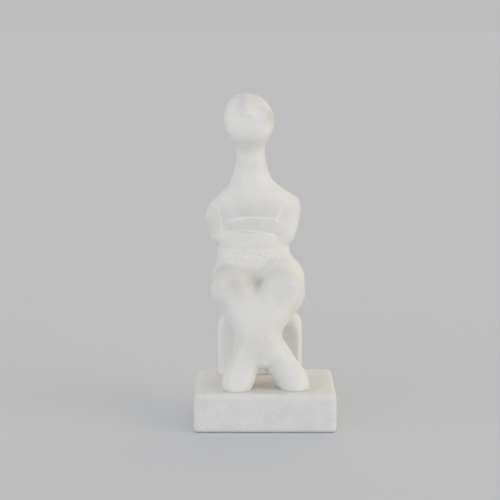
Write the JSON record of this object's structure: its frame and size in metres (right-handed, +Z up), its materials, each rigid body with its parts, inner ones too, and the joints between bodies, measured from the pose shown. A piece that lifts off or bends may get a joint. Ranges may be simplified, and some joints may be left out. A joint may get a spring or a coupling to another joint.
{
  "type": "cycladic-style seated marble figurine on a plinth",
  "caption": "Carved marble figurine in the Cycladic manner: a seated figure with tilted blank head, folded arms and crossed shins, on a stool and a square plinth.",
  "frame": {"origin": "middle of the plinth's underside", "axes": "+Z up, the figure faces -Y, +X is to the viewer's right"},
  "size_m": [0.086, 0.08, 0.2012],
  "materials": {
    "figure_marble": "fine-grained white marble, rubbed to a soft matt sheen, slightly translucent at thin edges",
    "plinth_marble": "cooler, coarser-grained white marble, sawn and rubbed matt, with eased edges"
  },
  "bodies": {
    "root": {"seated_figure": "figure_marble", "plinth": "plinth_marble"}
  },
  "joints": []
}
